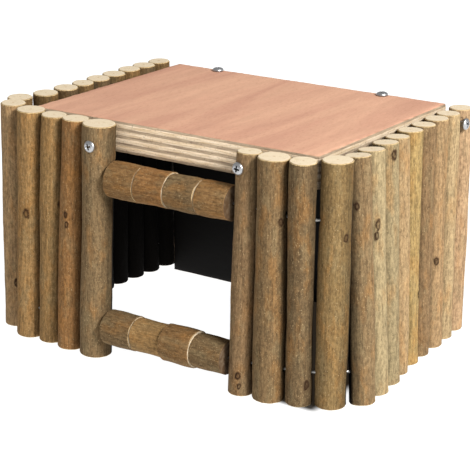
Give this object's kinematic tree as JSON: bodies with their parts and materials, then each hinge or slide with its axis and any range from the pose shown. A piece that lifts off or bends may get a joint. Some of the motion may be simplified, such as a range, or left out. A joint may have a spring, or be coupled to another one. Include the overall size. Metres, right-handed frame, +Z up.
{
  "type": "wooden hamster house",
  "caption": "Small pet hideout: a plywood roof and back with walls of upright bark-covered branch logs threaded on steel wires, and an entrance between two turning rungs.",
  "frame": {"origin": "middle of the footprint on the floor", "axes": "+X to the right along the entrance front, +Y towards the back panel, +Z up"},
  "size_m": [0.2452, 0.1682, 0.1379],
  "materials": {
    "roof_plywood": "sanded plywood with a thin reddish face veneer",
    "back_plywood": "sanded light plywood",
    "log_bark": "dry natural bark, matt, pale sawn ends",
    "rung_bark": "dry natural bark, matt, pale sawn ends",
    "steel_wire": "drawn steel wire",
    "zinc_screw": "bright zinc plate"
  },
  "bodies": {
    "house": {"roof_panel": "roof_plywood", "back_panel": "back_plywood", "left_log_1": "log_bark", "left_log_2": "log_bark", "left_log_3": "log_bark", "left_log_4": "log_bark", "left_log_5": "log_bark", "left_log_6": "log_bark", "left_log_7": "log_bark", "left_log_8": "log_bark", "left_log_9": "log_bark", "front_log_1": "log_bark", "front_log_2": "log_bark", "front_log_3": "log_bark", "front_log_4": "log_bark", "front_log_5": "log_bark", "front_log_6": "log_bark", "front_log_7": "log_bark", "front_log_8": "log_bark", "front_log_9": "log_bark", "right_log_1": "log_bark", "right_log_2": "log_bark", "right_log_3": "log_bark", "right_log_4": "log_bark", "right_log_5": "log_bark", "right_log_6": "log_bark", "right_log_7": "log_bark", "right_log_8": "log_bark", "right_log_9": "log_bark", "upper_wire": "steel_wire", "lower_wire": "steel_wire", "roof_screws": "zinc_screw", "post_screws": "zinc_screw", "end_screws": "zinc_screw"},
    "upper_rung_1": {"upper_rung_1": "rung_bark"},
    "upper_rung_2": {"upper_rung_2": "rung_bark"},
    "upper_rung_3": {"upper_rung_3": "rung_bark"},
    "upper_rung_4": {"upper_rung_4": "rung_bark"},
    "lower_rung_1": {"lower_rung_1": "rung_bark"},
    "lower_rung_2": {"lower_rung_2": "rung_bark"},
    "lower_rung_3": {"lower_rung_3": "rung_bark"},
    "lower_rung_4": {"lower_rung_4": "rung_bark"}
  },
  "joints": [
    {"name": "upper_rung_1_spin", "type": "hinge", "parent": "house", "child": "upper_rung_1", "pos_m": [-0.01986, -0.07255, 0.1043], "axis": [1, 0, 0], "continuous": true},
    {"name": "upper_rung_2_spin", "type": "hinge", "parent": "house", "child": "upper_rung_2", "pos_m": [0.00009, -0.07255, 0.1043], "axis": [1, 0, 0], "continuous": true},
    {"name": "upper_rung_3_spin", "type": "hinge", "parent": "house", "child": "upper_rung_3", "pos_m": [0.02004, -0.07255, 0.1043], "axis": [1, 0, 0], "continuous": true},
    {"name": "upper_rung_4_spin", "type": "hinge", "parent": "house", "child": "upper_rung_4", "pos_m": [0.03999, -0.07255, 0.1043], "axis": [1, 0, 0], "continuous": true},
    {"name": "lower_rung_1_spin", "type": "hinge", "parent": "house", "child": "lower_rung_1", "pos_m": [-0.02381, -0.0739, 0.0182], "axis": [1, 0, 0], "continuous": true},
    {"name": "lower_rung_2_spin", "type": "hinge", "parent": "house", "child": "lower_rung_2", "pos_m": [-0.00347, -0.0739, 0.0182], "axis": [1, 0, 0], "continuous": true},
    {"name": "lower_rung_3_spin", "type": "hinge", "parent": "house", "child": "lower_rung_3", "pos_m": [0.01687, -0.0739, 0.0182], "axis": [1, 0, 0], "continuous": true},
    {"name": "lower_rung_4_spin", "type": "hinge", "parent": "house", "child": "lower_rung_4", "pos_m": [0.03721, -0.0739, 0.0182], "axis": [1, 0, 0], "continuous": true}
  ]
}
